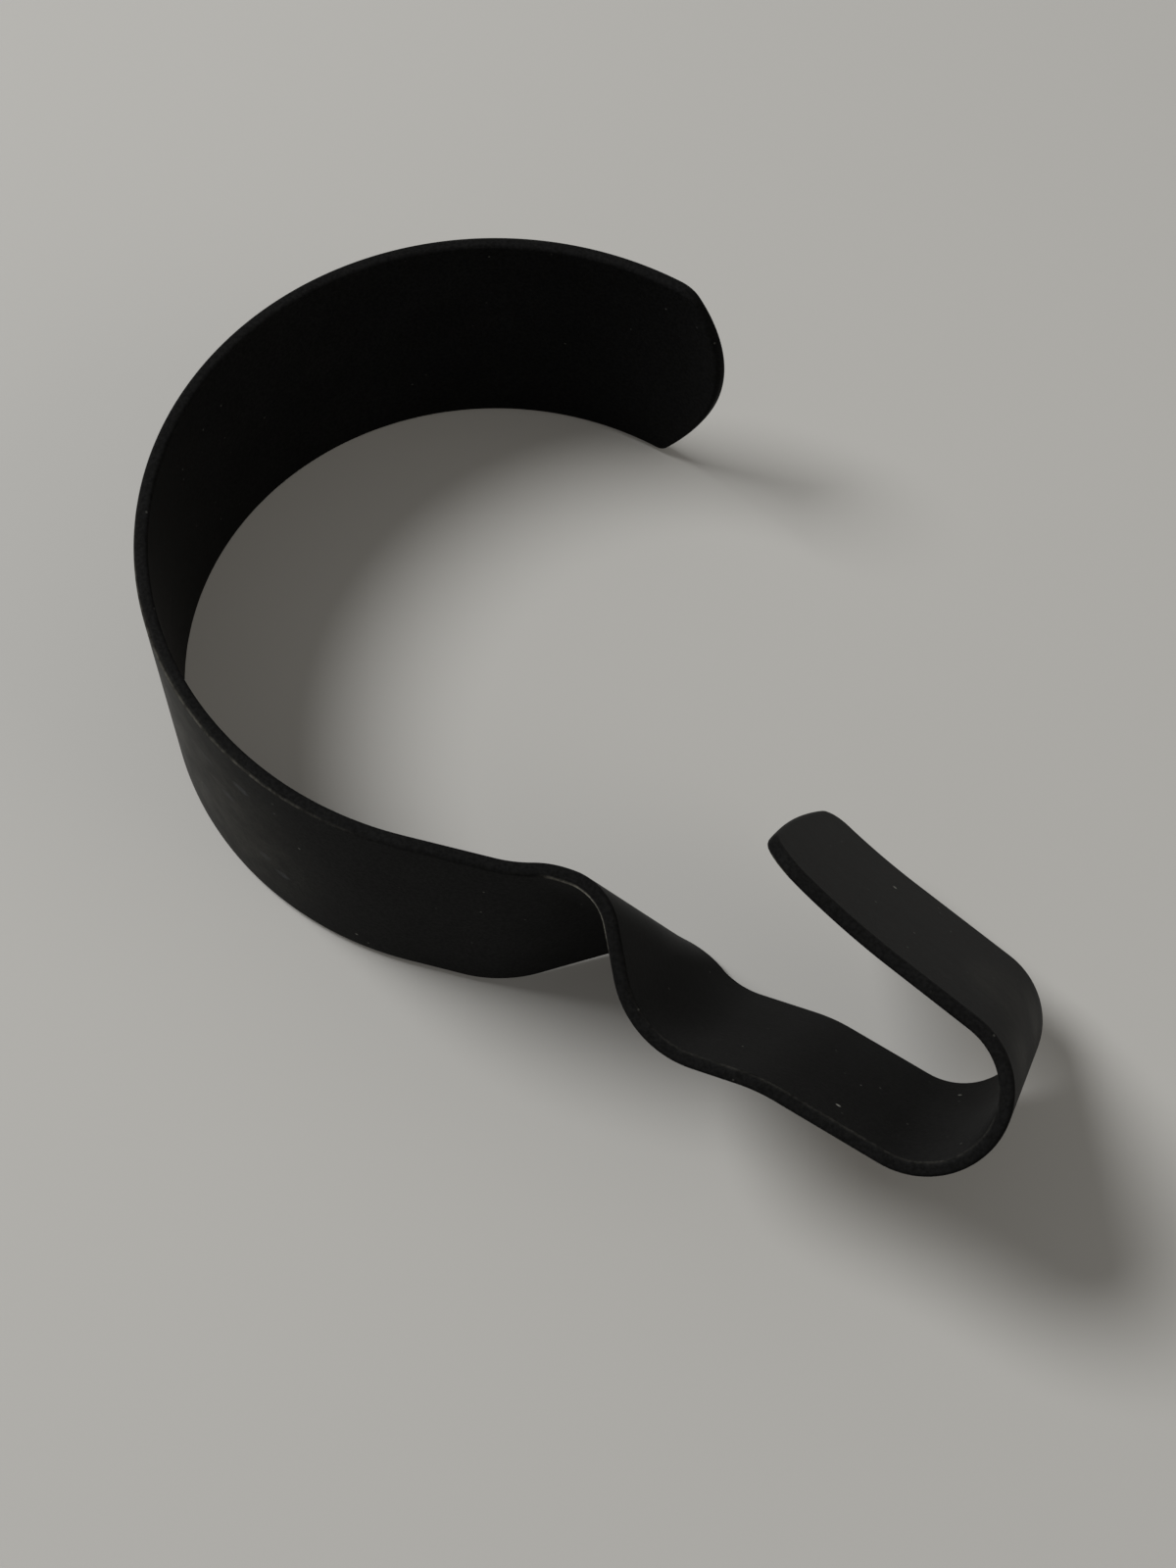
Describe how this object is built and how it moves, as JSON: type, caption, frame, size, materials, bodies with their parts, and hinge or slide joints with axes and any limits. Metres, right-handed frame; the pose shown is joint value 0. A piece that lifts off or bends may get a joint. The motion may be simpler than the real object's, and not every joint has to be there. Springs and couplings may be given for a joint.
{
  "type": "wire clip",
  "caption": "Flat steel strap bent into an open clamping ring, with a skewed fold that leads into a slanted hook for holding a wire or cable.",
  "frame": {"origin": "centre of the open ring: on its axis, at the middle of the strap's width", "axes": "+Z along the ring's axis, up as it stands on its edge; the ring's mouth faces +X and the hook leaves on the -Y side"},
  "size_m": [0.0589, 0.064, 0.0224],
  "materials": {
    "black_coat": "satin black coating on steel strap"
  },
  "bodies": {
    "root": {"strap_clip": "black_coat"}
  },
  "joints": []
}
